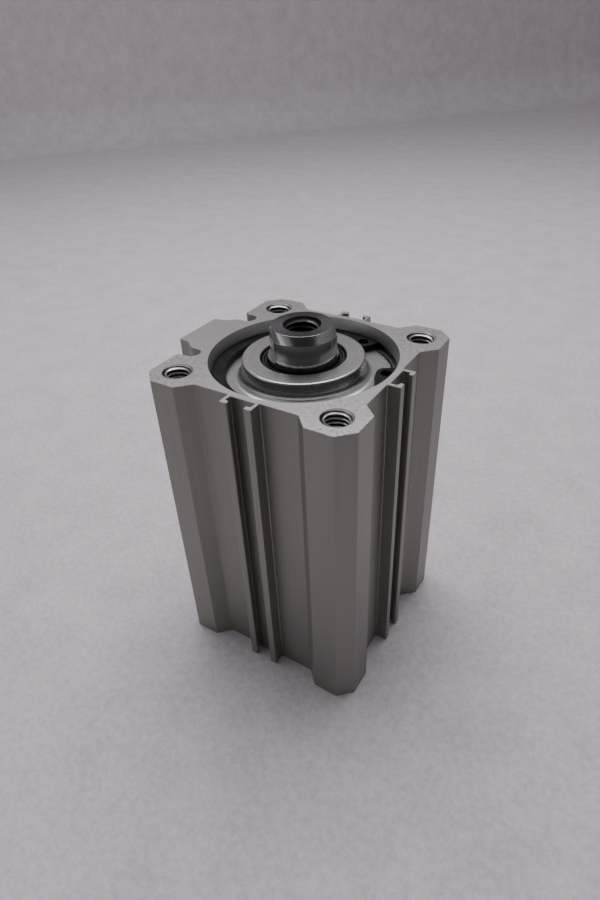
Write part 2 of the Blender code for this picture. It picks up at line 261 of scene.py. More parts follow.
def piece(name, shell, finishes, node, body, sharp=30.0):
    """Weld, smooth and register the piece that stands for a CAD node."""
    bm = bmesh.new()
    verts = [bm.verts.new((x * MM, y * MM, z * MM)) for x, y, z in shell.co]
    for f, m in zip(shell.faces, shell.mats):
        face = bm.faces.new([verts[i] for i in f])
        face.material_index = m
        face.smooth = True
    bmesh.ops.remove_doubles(bm, verts=bm.verts, dist=2.5e-7)
    loose = [v for v in bm.verts if not v.link_faces]
    if loose:
        bmesh.ops.delete(bm, geom=loose, context="VERTS")
    bmesh.ops.recalc_face_normals(bm, faces=bm.faces)
    broken = sum(1 for e in bm.edges if len(e.link_faces) != 2)
    mesh = bpy.data.meshes.new(name)
    bm.to_mesh(mesh)
    bm.free()
    for mat in finishes:
        mesh.materials.append(mat)
    mesh.set_sharp_from_angle(angle=math.radians(sharp))
    obj = bpy.data.objects.new(name, mesh)
    bpy.context.scene.collection.objects.link(obj)
    # large flats keep flat shading beside small rounded edges
    even = obj.modifiers.new("even_normals", "WEIGHTED_NORMAL")
    even.keep_sharp = True
    graph = bpy.context.evaluated_depsgraph_get()
    done = bpy.data.meshes.new_from_object(obj.evaluated_get(graph), preserve_all_data_layers=True, depsgraph=graph)
    obj.modifiers.clear()
    obj.data = done
    bpy.data.meshes.remove(mesh)
    done.name = name
    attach(obj, body)
    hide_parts(node)
    lo, hi = box_mm(node)
    co = [v.co for v in done.vertices]
    mine = [[min(c[i] for c in co) / MM for i in range(3)], [max(c[i] for c in co) / MM for i in range(3)]]
    print("piece %-22s %6d faces  open %d  box off by %s" % (
        name, len(done.polygons), broken,
        [round(mine[0][i] - lo[i], 2) for i in range(3)] + [round(mine[1][i] - hi[i], 2) for i in range(3)]))
    PIECES.append(obj)
    return obj


# ------------------------------------------------------------------ finishes
class Finish:
    """A node material with a few shorthands; places are in millimetres on the piece."""

    def __init__(self, name, metallic, roughness, specular=0.5, coat=0.0, coat_roughness=0.1, anisotropic=0.0):
        self.mat = bpy.data.materials.new(name)
        self.mat.use_nodes = True
        self.tree = self.mat.node_tree
        self.bsdf = self.tree.nodes["Principled BSDF"]
        self.set(self.bsdf, "Metallic", metallic)
        self.set(self.bsdf, "Roughness", roughness)
        self.set(self.bsdf, "Specular IOR Level", specular)
        if coat:
            self.set(self.bsdf, "Coat Weight", coat)
            self.set(self.bsdf, "Coat Roughness", coat_roughness)
        if anisotropic:
            self.set(self.bsdf, "Anisotropic", anisotropic)
            tangent = self.tree.nodes.new("ShaderNodeTangent")
            tangent.direction_type = "RADIAL"
            tangent.axis = "Z"
            self.tree.links.new(tangent.outputs[0], self.bsdf.inputs["Tangent"])
        where = self.tree.nodes.new("ShaderNodeTexCoord")
        self.mm = self.vmath("MULTIPLY", where.outputs["Object"], (1000.0, 1000.0, 1000.0))

    def set(self, node, socket, value):
        target = node.inputs[socket]
        if isinstance(value, bpy.types.NodeSocket):
            self.tree.links.new(value, target)
        else:
            target.default_value = value
        return node

    def vmath(self, op, a, b=None):
        node = self.tree.nodes.new("ShaderNodeVectorMath")
        node.operation = op
        self.set(node, 0, a)
        if b is not None:
            self.set(node, 1, b)
        return node.outputs["Value"] if op in ("LENGTH", "DOT_PRODUCT", "DISTANCE") else node.outputs[0]

    def math(self, op, a, b=None, c=None):
        node = self.tree.nodes.new("ShaderNodeMath")
        node.operation = op
        for i, v in enumerate((a, b, c)):
            if v is not None:
                self.set(node, i, v)
        return node.outputs[0]

    def split(self, vec):
        node = self.tree.nodes.new("ShaderNodeSeparateXYZ")
        self.set(node, 0, vec)
        return node.outputs

    def join(self, x, y, z):
        node = self.tree.nodes.new("ShaderNodeCombineXYZ")
        for i, v in enumerate((x, y, z)):
            self.set(node, i, v)
        return node.outputs[0]

    def noise(self, scale, detail=2.0, rough=0.5, stretch=None, vec=None, w=None):
        node = self.tree.nodes.new("ShaderNodeTexNoise")
        node.inputs["Detail"].default_value = detail
        node.inputs["Roughness"].default_value = rough
        node.inputs["Scale"].default_value = scale
        if w is not None:
            node.noise_dimensions = "1D"
            self.set(node, "W", w)
        else:
            vec = vec or self.mm
            if stretch:
                vec = self.vmath("MULTIPLY", vec, stretch)
            self.set(node, "Vector", vec)
        return node.outputs["Fac"]

    def range(self, value, a0, a1, b0, b1, smooth=False):
        node = self.tree.nodes.new("ShaderNodeMapRange")
        node.clamp = True
        if smooth:
            node.interpolation_type = "SMOOTHSTEP"
        self.set(node, "Value", value)
        for socket, v in (("From Min", a0), ("From Max", a1), ("To Min", b0), ("To Max", b1)):
            node.inputs[socket].default_value = v
        return node.outputs[0]

    def mix(self, fac, a, b):
        node = self.tree.nodes.new("ShaderNodeMix")
        node.data_type = "RGBA"
        self.set(node, 0, fac)
        for socket, v in ((6, a), (7, b)):
            self.set(node, socket, (*v, 1.0) if isinstance(v, tuple) and len(v) == 3 else v)
        return node.outputs[2]

    def bump(self, height, strength, distance, normal=None):
        node = self.tree.nodes.new("ShaderNodeBump")
        node.inputs["Strength"].default_value = strength
        node.inputs["Distance"].default_value = distance * MM
        self.set(node, "Height", height)
        if normal is not None:
            self.set(node, "Normal", normal)
        self.set(self.bsdf, "Normal", node.outputs[0])
        return node.outputs[0]

    def colour(self, value):
        self.set(self.bsdf, "Base Color", value)

    def roughness(self, value):
        self.set(self.bsdf, "Roughness", value)

    def radius(self):
        x, y, _ = self.split(self.mm)
        return self.math("SQRT", self.math("ADD", self.math("MULTIPLY", x, x), self.math("MULTIPLY", y, y)))


def anodised():
    """Extruded sides: grey anodising with a fine grain and faint die lines."""
    f = Finish("anodised_extrusion", 0.82, 0.42)
    die = f.noise(1.0, 4.0, 0.6, stretch=(5.0, 5.0, 0.02))
    wide = f.noise(1.0, 2.0, 0.5, stretch=(0.9, 0.9, 0.012))
    grain = f.noise(9.0, 2.0, 0.6)
    cloud = f.noise(0.09, 3.0, 0.5)
    tone = f.math("ADD", f.math("MULTIPLY", die, 0.2), f.math("MULTIPLY", wide, 0.15))
    tone = f.math("ADD", tone, f.math("MULTIPLY", grain, 0.5))
    tone = f.math("ADD", tone, f.math("MULTIPLY", cloud, 0.25))
    f.colour(f.mix(f.range(tone, 0.35, 0.75, 0.0, 1.0), (0.260, 0.248, 0.232), (0.342, 0.327, 0.306)))
    f.roughness(f.range(f.math("ADD", grain, f.math("MULTIPLY", cloud, 0.6)), 0.5, 1.1, 0.46, 0.56))
    f.bump(f.math("ADD", f.math("MULTIPLY", grain, 0.7), f.math("MULTIPLY", die, 0.25)), 0.30, 0.02)
    return f.mat


def end_face():
    """Milled ends, anodised after cutting: fine feed arcs, and short marks fanned round each corner hole."""
    f = Finish("machined_end", 0.95, 0.38)
    x, y, _ = f.split(f.mm)
    ax = f.math("SUBTRACT", f.math("ABSOLUTE", x), HOLE_AT)
    ay = f.math("SUBTRACT", f.math("ABSOLUTE", y), HOLE_AT)
    turn = f.math("ARCTAN2", ay, ax)
    away = f.math("SQRT", f.math("ADD", f.math("MULTIPLY", ax, ax), f.math("MULTIPLY", ay, ay)))
    fan = f.noise(1.0, 2.0, 0.6, vec=f.join(f.math("MULTIPLY", turn, 9.0), f.math("MULTIPLY", away, 0.55), 0.0))
    near = f.math("MULTIPLY", f.range(away, 3.6, 4.6, 0.0, 1.0, True), f.range(away, 6.6, 9.5, 1.0, 0.0, True))
    fan = f.math("MULTIPLY", f.math("SUBTRACT", fan, 0.5), near)
    from_cutter = f.vmath("DISTANCE", f.join(x, y, 0.0), (-61.0, -47.0, 0.0))
    arcs = f.noise(3.2, 3.0, 0.65, w=from_cutter)
    grain = f.noise(8.0, 2.0, 0.6)
    cloud = f.noise(0.12, 2.0, 0.5)
    tone = f.math("ADD", f.math("MULTIPLY", arcs, 0.45), f.math("MULTIPLY", grain, 0.3))
    tone = f.math("ADD", tone, f.math("MULTIPLY", cloud, 0.25))
    tone = f.math("ADD", tone, f.math("MULTIPLY", fan, 0.6))
    plain = f.mix(f.range(tone, 0.3, 0.7, 0.0, 1.0), (0.40, 0.390, 0.384), (0.49, 0.478, 0.470))
    dull = f.math("MULTIPLY", f.range(fan, -0.13, -0.03, 1.0, 0.0), 0.42)
    keen = f.math("MULTIPLY", f.range(fan, 0.04, 0.14, 0.0, 1.0), 0.35)
    plain = f.mix(dull, f.mix(keen, plain, (0.72, 0.71, 0.70)), (0.20, 0.195, 0.19))
    # the chamfer was cut last, so bare metal shows inside it, lightened further as a painted highlight; the dark line
    # round its rim is painted shade
    rim = f.range(f.math("ABSOLUTE", f.math("SUBTRACT", away, 3.40)), 0.04, 0.12, 1.0, 0.0)
    bare_and_painted_highlight = f.range(away, 3.22, 3.28, 1.0, 0.0)
    cut = f.mix(bare_and_painted_highlight, plain, (0.74, 0.73, 0.725))
    f.colour(f.mix(f.math("MULTIPLY", rim, 0.7), cut, (0.07, 0.069, 0.068)))
    f.roughness(f.range(tone, 0.3, 0.7, 0.43, 0.34))
    height = f.math("ADD", f.math("MULTIPLY", arcs, 0.6), f.math("MULTIPLY", fan, 1.0))
    height = f.math("ADD", height, f.math("MULTIPLY", grain, 0.25))
    f.bump(height, 0.35, 0.03)
    return f.mat


def bore_finish():
    """Honed, hard-anodised bore: fine rings and a crossed hone pattern, darkened inwards from each end as painted
    shade.
    """
    f = Finish("honed_bore", 0.85, 0.36)
    x, y, z = f.split(f.mm)
    turn = f.math("MULTIPLY", f.math("ARCTAN2", y, x), BORE_R)
    up = f.math("ADD", z, f.math("MULTIPLY", turn, 0.45))
    down = f.math("SUBTRACT", z, f.math("MULTIPLY", turn, 0.45))
    hone = f.math("ADD", f.noise(5.0, 2.0, 0.6, w=up), f.noise(5.0, 2.0, 0.6, w=down))
    grain = f.noise(7.0, 2.0, 0.5)
    tone = f.math("ADD", f.math("MULTIPLY", hone, 0.35), f.math("MULTIPLY", grain, 0.3))
    # painted shade: the colour darkens from each end of the bore over its first 3 mm and stays dark deeper in
    deep = f.math("MINIMUM", f.math("SUBTRACT", TOP, z), z)
    deep = f.math("ADD", deep, f.math("MULTIPLY", f.math("SUBTRACT", grain, 0.5), 0.5))
    bright = f.mix(f.range(tone, 0.35, 0.65, 0.0, 1.0), (0.50, 0.49, 0.485), (0.60, 0.59, 0.585))
    painted_shade_inside = f.mix(f.range(tone, 0.35, 0.65, 0.0, 1.0), (0.20, 0.197, 0.195), (0.27, 0.266, 0.263))
    f.colour(f.mix(f.range(deep, 0.4, 2.9, 0.0, 1.0), bright, painted_shade_inside))
    f.roughness(f.range(tone, 0.35, 0.65, 0.30, 0.42))
    f.bump(hone, 0.2, 0.01)
    return f.mat


def turned_metal(name, dark, light, rough=(0.2, 0.34), metallic=1.0, per_mm=6.0, depth=0.012, strength=0.35,
                 anisotropic=0.35, with_z=True, spread=0.33):
    """Lathe-turned metal: fine rings about the axis, in its colour, gloss and relief."""
    f = Finish(name, metallic, sum(rough) / 2, anisotropic=anisotropic)
    r = f.radius()
    _, _, z = f.split(f.mm)
    along = f.math("ADD", r, z) if with_z else r
    rings = f.noise(per_mm, 3.0, 0.6, w=along)
    wide = f.noise(per_mm * 0.12, 2.0, 0.5, w=along)
    grain = f.noise(6.0, 3.0, 0.6)
    cloud = f.noise(0.25, 2.0, 0.5)
    tone = f.math("ADD", f.math("MULTIPLY", rings, 0.45), f.math("MULTIPLY", wide, 0.2))
    tone = f.math("ADD", tone, f.math("MULTIPLY", grain, 0.15))
    tone = f.math("ADD", tone, f.math("MULTIPLY", cloud, 0.2))
    f.colour(f.mix(f.range(tone, 0.515 - spread / 2, 0.515 + spread / 2, 0.0, 1.0), dark, light))
    f.roughness(f.range(tone, 0.515 - spread / 2, 0.515 + spread / 2, rough[1], rough[0]))
    f.bump(rings, strength, depth)
    return f.mat


def thread_metal(name, rim, low, dark, light, rough, corner=False):
    """Tapped threads: crests in the metal's colour, roots darkened as painted shade, by distance from the hole's axis.
    """
    f = Finish(name, 0.9, 0.35)
    x, y, _ = f.split(f.mm)
    if corner:
        x = f.math("SUBTRACT", f.math("ABSOLUTE", x), HOLE_AT)
        y = f.math("SUBTRACT", f.math("ABSOLUTE", y), HOLE_AT)
    r = f.math("SQRT", f.math("ADD", f.math("MULTIPLY", x, x), f.math("MULTIPLY", y, y)))
    grain = f.noise(5.0, 3.0, 0.6)
    r = f.math("ADD", r, f.math("MULTIPLY", f.math("SUBTRACT", grain, 0.5), 0.12))
    # painted shade: darker with distance from the hole's axis, in the thread roots and in a countersink that wears this
    # finish
    f.colour(f.mix(f.range(r, rim, low, 0.0, 1.0), light, dark))
    f.roughness(f.range(grain, 0.3, 0.7, rough[0], rough[1]))
    f.bump(grain, 0.2, 0.01)
    return f.mat


def chrome():
    """Ground and chromed rod: dark mirror with faint grinding rings and hairline wear along it."""
    f = Finish("hard_chrome_rod", 1.0, 0.14)
    _, _, z = f.split(f.mm)
    rings = f.noise(7.0, 3.0, 0.6, w=z)
    wear = f.noise(1.0, 3.0, 0.6, stretch=(6.0, 6.0, 0.12))
    cloud = f.noise(0.3, 2.0, 0.5)
    tone = f.math("ADD", f.math("MULTIPLY", rings, 0.5), f.math("MULTIPLY", wear, 0.3))
    tone = f.math("ADD", tone, f.math("MULTIPLY", cloud, 0.2))
    f.colour(f.mix(f.range(tone, 0.3, 0.7, 0.0, 1.0), (0.35, 0.35, 0.355), (0.47, 0.47, 0.475)))
    f.roughness(f.range(tone, 0.3, 0.7, 0.25, 0.16))
    f.bump(rings, 0.12, 0.004)
    return f.mat


def rod_flat():
    """Milled wrench flats: straight passes across the flat."""
    f = Finish("milled_flat", 1.0, 0.25)
    _, _, z = f.split(f.mm)
    passes = f.noise(3.0, 2.0, 0.5, w=z)
    grain = f.noise(7.0, 2.0, 0.6)
    tone = f.math("ADD", f.math("MULTIPLY", passes, 0.7), f.math("MULTIPLY", grain, 0.3))
    f.colour(f.mix(f.range(tone, 0.3, 0.7, 0.0, 1.0), (0.40, 0.40, 0.41), (0.52, 0.52, 0.53)))
    f.roughness(f.range(tone, 0.3, 0.7, 0.34, 0.22))
    f.bump(passes, 0.3, 0.01)
    return f.mat


def phosphate():
    """Spring steel with a dull black coating, a little worn."""
    f = Finish("black_phosphate", 0.0, 0.6, specular=0.12)
    grain = f.noise(5.0, 3.0, 0.65)
    worn = f.noise(0.7, 4.0, 0.6)
    f.colour(f.mix(f.range(worn, 0.45, 0.75, 0.0, 1.0), (0.006, 0.006, 0.007), (0.020, 0.019, 0.019)))
    f.roughness(f.range(grain, 0.3, 0.7, 0.52, 0.72))
    f.bump(grain, 0.35, 0.02)
    return f.mat


def rubber(name, dark=(0.008, 0.008, 0.009), light=(0.018, 0.018, 0.02), rough=(0.38, 0.55), specular=0.45):
    """Moulded rubber: nearly black, slightly greasy, with a fine moulded texture."""
    f = Finish(name, 0.0, 0.45, specular=specular)
    grain = f.noise(6.0, 3.0, 0.6)
    grease = f.noise(0.8, 2.0, 0.5)
    f.colour(f.mix(f.range(grain, 0.3, 0.7, 0.0, 1.0), dark, light))
    f.roughness(f.range(grease, 0.35, 0.65, rough[0], rough[1]))
    f.bump(grain, 0.25, 0.02)
    return f.mat


def moulded(name, dark, light, rough=(0.4, 0.55), metallic=0.0, scale=3.0):
    """Moulded, pressed or sintered stock with a fine even mottling."""
    f = Finish(name, metallic, sum(rough) / 2)
    grain = f.noise(scale, 4.0, 0.6)
    cloud = f.noise(0.3, 2.0, 0.5)
    tone = f.math("ADD", f.math("MULTIPLY", grain, 0.6), f.math("MULTIPLY", cloud, 0.4))
    f.colour(f.mix(f.range(tone, 0.35, 0.65, 0.0, 1.0), dark, light))
    f.roughness(f.range(tone, 0.35, 0.65, rough[1], rough[0]))
    f.bump(grain, 0.2, 0.02)
    return f.mat


M_SIDE = anodised()
M_END = end_face()
M_BORE = bore_finish()
M_COVER = turned_metal("turned_cover", (0.50, 0.50, 0.505), (0.66, 0.66, 0.665), per_mm=5.0)
M_CHROME = chrome()
M_ROD_END = turned_metal("turned_rod_end", (0.102, 0.100, 0.104), (0.160, 0.157, 0.162), rough=(0.24, 0.36), per_mm=7.0,
                         anisotropic=0.5)
M_COLLAR = turned_metal("turned_collar", (0.47, 0.468, 0.470), (0.61, 0.607, 0.609), rough=(0.22, 0.31), metallic=0.92,
                        per_mm=9.0, depth=0.005, strength=0.08, anisotropic=0.15, spread=0.55)
M_CORNER_THREAD = thread_metal("tapped_corner", 2.58, 2.9, (0.03, 0.029, 0.028), (0.56, 0.55, 0.54), (0.25, 0.38), True)
M_ROD_THREAD = thread_metal("tapped_rod", 3.42, 3.75, (0.012, 0.012, 0.012), (0.14, 0.137, 0.135), (0.36, 0.5))
M_FLAT = rod_flat()
M_CLIP = phosphate()
M_SEAL = rubber("nitrile_lip", rough=(0.45, 0.62), specular=0.38)
M_CORD = rubber("nitrile_cord", rough=(0.3, 0.45))
M_URETHANE = moulded("urethane_pad", (0.46, 0.33, 0.15), (0.60, 0.46, 0.24), rough=(0.35, 0.5))
M_BRONZE = turned_metal("sintered_bronze", (0.42, 0.27, 0.13), (0.58, 0.40, 0.22), rough=(0.28, 0.42))
M_PISTON = turned_metal("piston_alloy", (0.48, 0.48, 0.50), (0.64, 0.64, 0.66), rough=(0.3, 0.45), per_mm=4.0)
M_RESIN = moulded("wear_resin", (0.27, 0.15, 0.09), (0.40, 0.24, 0.15))
M_MAGNET = moulded("bonded_ferrite", (0.05, 0.05, 0.052), (0.10, 0.10, 0.105), rough=(0.5, 0.7), metallic=0.2, scale=4.0)
M_PLATED = turned_metal("zinc_plate", (0.52, 0.52, 0.50), (0.68, 0.68, 0.65), rough=(0.22, 0.36), per_mm=3.0,
                        anisotropic=0.0)


# ------------------------------------------------------------------ tube
def rail_side():
    left = [(-CHAMFER_AT, BODY, 0.45), (-16.15, BODY, 0.22), (-13.0, 22.75, 0.8),
            (-3.95, 22.75, 0.28), (-3.95, 25.85, 0.18), (-2.10, 25.85, 0.28), (-2.10, 24.85, 0.15),
            (-3.15, 24.60, 0.15), (-3.15, 23.10, 0.28)]
    return left + [(-t, d, r) for t, d, r in reversed(left)]


def port_side():
    right = [(7.0, PORT_FACE, 0.5), (7.1, 28.6, 2.0), (7.6, 27.4, 2.0), (8.65, 26.3, 1.5), (9.25, 25.0, 0.8)]
    right += [(11.1 + 1.85 * math.cos(math.radians(a)), 23.2 + 1.85 * math.sin(math.radians(a)), 0.0)
              for a in range(180, 361, 12)]
    right += [(13.05, 25.2, 0.3), (13.55, BODY, 0.3), (CHAMFER_AT, BODY, 0.45)]
    return [(-t, d, r) for t, d, r in reversed(right)] + right


def tube_outline():
    corners = []
    for quarter in range(4):
        a = math.radians(90 * quarter)
        for t, d, r in (port_side() if quarter == 3 else rail_side()):
            x, y = t, -d
            corners.append((x * math.cos(a) - y * math.sin(a), x * math.sin(a) + y * math.cos(a), r, 0))
    return [(x, y) for x, y, _ in rounded(corners)]


SIDE, END, BORE, TAP = 0, 1, 2, 3
N_BORE = 144
N_HOLE = 48
EDGE = 0.09                 # chamfer of the sawn and milled edges


def bore_line():
    z = TOP
    line = [(MOUTH_R + 0.05, z, 0, END), (MOUTH_R, z - 0.06, 0, BORE), (MOUTH_LOW_R, z - 2.95, 0.05, BORE),
            (GROOVE_R, z - 2.95, 0.06, BORE), (GROOVE_R, z - 4.75, 0.06, BORE),
            (SEAT_R, z - 4.75, 0.0, BORE), (SEAT_R, z - 8.5, 0.1, BORE), (BORE_R, z - 8.5, 0.12, BORE),
            (BORE_R, z - 8.9, 0, BORE), (BORE_R, z - 13.5, 0, BORE),
            (BORE_R, 13.0, 0, BORE), (BORE_R, 8.75, 0, BORE),
            (BORE_R, 8.5, 0.0, BORE), (SEAT_R, 8.5, 0.1, BORE), (SEAT_R, 4.75, 0, BORE), (GROOVE_R, 4.75, 0.06, BORE),
            (GROOVE_R, 2.95, 0.06, BORE), (MOUTH_LOW_R, 2.95, 0.05, BORE),
            (MOUTH_R, 0.06, 0, END), (MOUTH_R + 0.05, 0.0, 0, END)]
    return rounded(line, closed=False, step=30)


def make_tube():
    shell = Shell()
    outline = tube_outline()
    port_flat = (PORT_FACE, 6.5)

    # the outer wall, with a chamfer at each end
    loops = [(inset(outline, EDGE), 0.0), (outline, EDGE), (outline, TOP - EDGE), (inset(outline, EDGE), TOP)]
    rows = [[(x, y, z) for x, y in loop] for loop, z in loops]
    n = len(outline)

    def on_port_face(j):
        (x0, y0), (x1, y1) = outline[j], outline[(j + 1) % n]
        return abs(x0 + PORT_FACE) < 1e-6 and abs(x1 + PORT_FACE) < 1e-6

    shell.strips(rows, [END, SIDE, END, END], skip=lambda i, j: i == 1 and on_port_face(j))

    # both ends
    holes = [(sx * HOLE_AT, sy * HOLE_AT) for sx, sy in ((1, 1), (-1, 1), (-1, -1), (1, -1))]
    rims = [circle(3.35, N_HOLE, hx, hy) for hx, hy in holes]
    mouth = circle(MOUTH_R + 0.05, N_BORE)
    for loop, z in ((loops[3][0], TOP), (loops[0][0], 0.0)):
        cap(shell, loop, [mouth] + rims, z, END)

    # bore, leaving a window for each port passage
    line = bore_line()
    zs = [z for _, z, _ in line]
    half = 3                # columns each side of the window's middle
    mid = N_BORE // 2
    windows = []
    for pz in PORTS:
        i = max(k for k in range(len(zs)) if zs[k] > pz and line[k][0] == BORE_R and zs[k] - pz > 1.6)
        windows.append((i, pz, zs[i], zs[i + 1]))
    lathe(shell, line, N_BORE, closed=False,
          skip=lambda i, j: any(i == w[0] for w in windows) and mid - half <= j < mid + half)
    for _, pz, z_up, z_low in windows:
        def at(j):
            return (j - mid) * TAU / N_BORE * BORE_R
        outer = [(at(j), z_low) for j in range(mid - half, mid + half + 1)]
        outer += [(at(j), z_up) for j in range(mid + half, mid - half - 1, -1)]
        hole = []
        for k in range(32):
            a = TAU * k / 32
            y, z = 1.5 * math.cos(a), pz + 1.5 * math.sin(a)
            hole.append((-BORE_R * math.asin(y / BORE_R), z))
        tris, co = fill(outer, [hole])
        shell.add([(BORE_R * math.cos(math.pi + u / BORE_R), BORE_R * math.sin(math.pi + u / BORE_R), z)
                   for u, z in co], tris, BORE)
        # passage from the bottom of the port to the bore
        ring_in, ring_out = [], []
        for k in range(32):
            a = TAU * k / 32
            y, z = 1.5 * math.cos(a), pz + 1.5 * math.sin(a)
            ring_in.append((-math.sqrt(BORE_R ** 2 - y * y), y, z))
            ring_out.append((-PORT_FACE + 8.5, y, z))
        shell.strips([ring_in, ring_out], [END])
        # drilled bottom, then the tapped port
        rows = []
        for x, r, m in ((-PORT_FACE + 8.5, 1.5, 32), (-PORT_FACE + 7.6, 4.3, N_HOLE)):
            rows.append(circle(r, m))
        tris, co = fill(rows[1], [rows[0]])
        shell.add([(-PORT_FACE + (8.5 if math.hypot(a, b) < 2.5 else 7.6), a, pz + b) for a, b in co], tris, END)
        threaded(shell, lambda a, b, s, pz=pz: (-PORT_FACE + s, a, pz + b), 5.15, 4.3, 4.86, 0.907, 6.6, N_HOLE, END, END)
        end = [circle(4.3, N_HOLE), circle(4.3, N_HOLE)]
        shell.strips([[(-PORT_FACE + 6.6, a, pz + b) for a, b in end[0]],
                      [(-PORT_FACE + 7.6, a, pz + b) for a, b in end[1]]], [END])

    # the port face itself
    ys = sorted(y for x, y in outline if abs(x + PORT_FACE) < 1e-6)
    face = [(ys[0], EDGE), (ys[-1], EDGE), (ys[-1], TOP - EDGE), (ys[0], TOP - EDGE)]
    cap(shell, face, [circle(5.15, N_HOLE, 0.0, pz) for pz in PORTS], -PORT_FACE, SIDE,
        place=lambda a, b, c: (c, a, b))

    # corner holes, tapped from both ends
    for hx, hy in holes:
        deep = 9.0
        threaded(shell, lambda a, b, s: (hx + a, hy + b, TOP - s), 3.35, 2.5, 3.0, 1.0, deep, N_HOLE, END, TAP, foot=0.36)
        threaded(shell, lambda a, b, s: (hx + a, hy + b, s), 3.35, 2.5, 3.0, 1.0, deep, N_HOLE, END, TAP, foot=0.36)
        ring = circle(2.5, N_HOLE, hx, hy)
        shell.strips([[(x, y, TOP - deep) for x, y in ring], [(x, y, deep) for x, y in ring]], [TAP])
    return piece("tube_extrusion", shell, [M_SIDE, M_END, M_BORE, M_CORNER_THREAD], "cylinder_tube", "barrel")


make_tube()


# ------------------------------------------------------------------ end pieces
def turned_piece(name, corners, n, finishes, node, body, step=18.0, sharp=30.0):
    shell = Shell()
    lathe(shell, rounded(corners, step=step), n)
    return piece(name, shell, finishes, node, body, sharp)


def make_collar():
    top, flange = COLLAR_HI[2], TOP - FLANGE_DEEP
    low, nose = TOP - 8.2, COLLAR_LO[2]
    z = [(9.6, nose, 0.1), (10.6, nose, 0.1), (10.6, nose + 1.3, 0.1), (13.4, nose + 1.3, 0.1), (13.4, nose, 0.1),
         (18.0, nose, 0.3), (18.0, low, 0.1), (20.3, low, 0.2), (20.3, low + 0.55, 0.12), (18.2, low + 0.55, 0.2),
         (18.2, low + 2.95, 0.2), (20.3, low + 2.95, 0.12), (20.3, flange, 0.2), (14.0, flange, 2.0),
         (14.0, top, 0.42), (9.96, top, 0.05), (9.8, top - 0.16, 0.05),
         (9.8, TOP - 5.5, 0.1), (8.4, TOP - 5.5, 0.1), (8.4, TOP - 6.1, 0.05), (9.6, TOP - 6.1, 0.1)]
    corners = [(r, h, c, 0) for r, h, c in z]
    return turned_piece("rod_collar_turned", corners, 160, [M_COLLAR], "rod_collar", "barrel", step=8.0)


def make_seal():
    low, high = TOP - 5.2, TOP - 0.75
    z = [(8.6, low, 0.1), (9.5, low, 0.2), (9.5, high - 0.25, 0.15), (9.3, high, 0.12), (9.02, high, 0.12),
         (8.75, high - 0.75, 0.12), (8.52, high - 0.06, 0.09), (8.3, high - 0.1, 0.09), (8.3, high - 0.9, 0.1),
         (8.62, high - 1.5, 0.3), (8.35, high - 2.6, 0.25), (8.62, high - 3.3, 0.3)]
    return turned_piece("rod_seal_lip", [(r, h, c, 0) for r, h, c in z], 128, [M_SEAL], "rod_seal", "barrel")


def make_bushing():
    shell = Shell()
    lo, hi = box_mm("rod_bushing")
    line = rounded([(8.3, lo[2], 0.15, 0), (9.3, lo[2], 0.15, 0), (9.3, hi[2], 0.15, 0), (8.3, hi[2], 0.15, 0)])
    swept(shell, line, 120, math.radians(91), math.radians(449.4), slant=0.12)
    return piece("rod_bushing_wrapped", shell, [M_BRONZE], "rod_bushing", "barrel")


def cord_ring(name, r, z, section, node, body, n=120, m=20):
    shell = Shell()
    line = [(r + section * math.cos(TAU * k / m), z + section * math.sin(TAU * k / m), 0) for k in range(m)]
    lathe(shell, line, n)
    return piece(name, shell, [M_CORD], node, body)


def make_bumper(name, node):
    lo, hi = box_mm(node)
    z0, z1 = lo[2], hi[2]
    line = [(10.9, z0, 0.25, 0), (13.1, z0, 0.25, 0), (13.1, z1, 0.35, 0), (12.35, z1, 0.2, 0),
            (12.0, z1 - 0.25, 0.3, 0), (11.65, z1, 0.2, 0), (10.9, z1, 0.35, 0)]
    if node == "front_bumper":      # its working face is the lower one
        line = [(r, z0 + z1 - z, c, t) for r, z, c, t in line]
    return turned_piece(name, line, 112, [M_URETHANE], node, "barrel")


CLIP_GAP = 18.7             # degrees, half the opening of a retaining ring


def clip_loop():
    """Outline of the retaining ring, gap towards +X, anticlockwise."""
    outer_r, gap, wide = 22.0, CLIP_GAP, 29.0
    pts = []
    steps = 150
    for i in range(steps + 1):
        a = math.radians(gap + (360 - 2 * gap) * i / steps)
        pts.append((outer_r * math.cos(a), outer_r * math.sin(a), 0.0, 0))
    end = gap + wide + 4.0
    inner = []
    steps = 84
    for i in range(steps + 1):
        deg = end + (360 - 2 * end) * i / steps
        mix = 0.5 - 0.5 * math.cos(math.radians(deg))
        r = 19.30 + (18.05 - 19.30) * mix
        inner.append((r * math.cos(math.radians(deg)), r * math.sin(math.radians(deg)), 0.0, 0))
    nose = ((gap + 0.1, 19.2, 0.0), (gap + 0.6, 17.9, 1.2), (gap + 3.6, 16.75, 1.6), (gap + 7.0, 16.6, 2.0),
            (gap + 14.5, 16.6, 2.0), (gap + 18.0, 16.9, 2.0), (gap + 22.0, 17.6, 2.0), (gap + 27.0, 18.5, 2.0),
            (gap + 30.5, 18.95, 1.2))

    def lug(sign):
        return [(r * math.cos(math.radians(sign * a)), r * math.sin(math.radians(sign * a)), c, 0) for a, r, c in nose]
    corners = pts + lug(-1) + list(reversed(inner)) + list(reversed(lug(1)))
    return [(x, y) for x, y, _ in rounded(corners, step=12)]


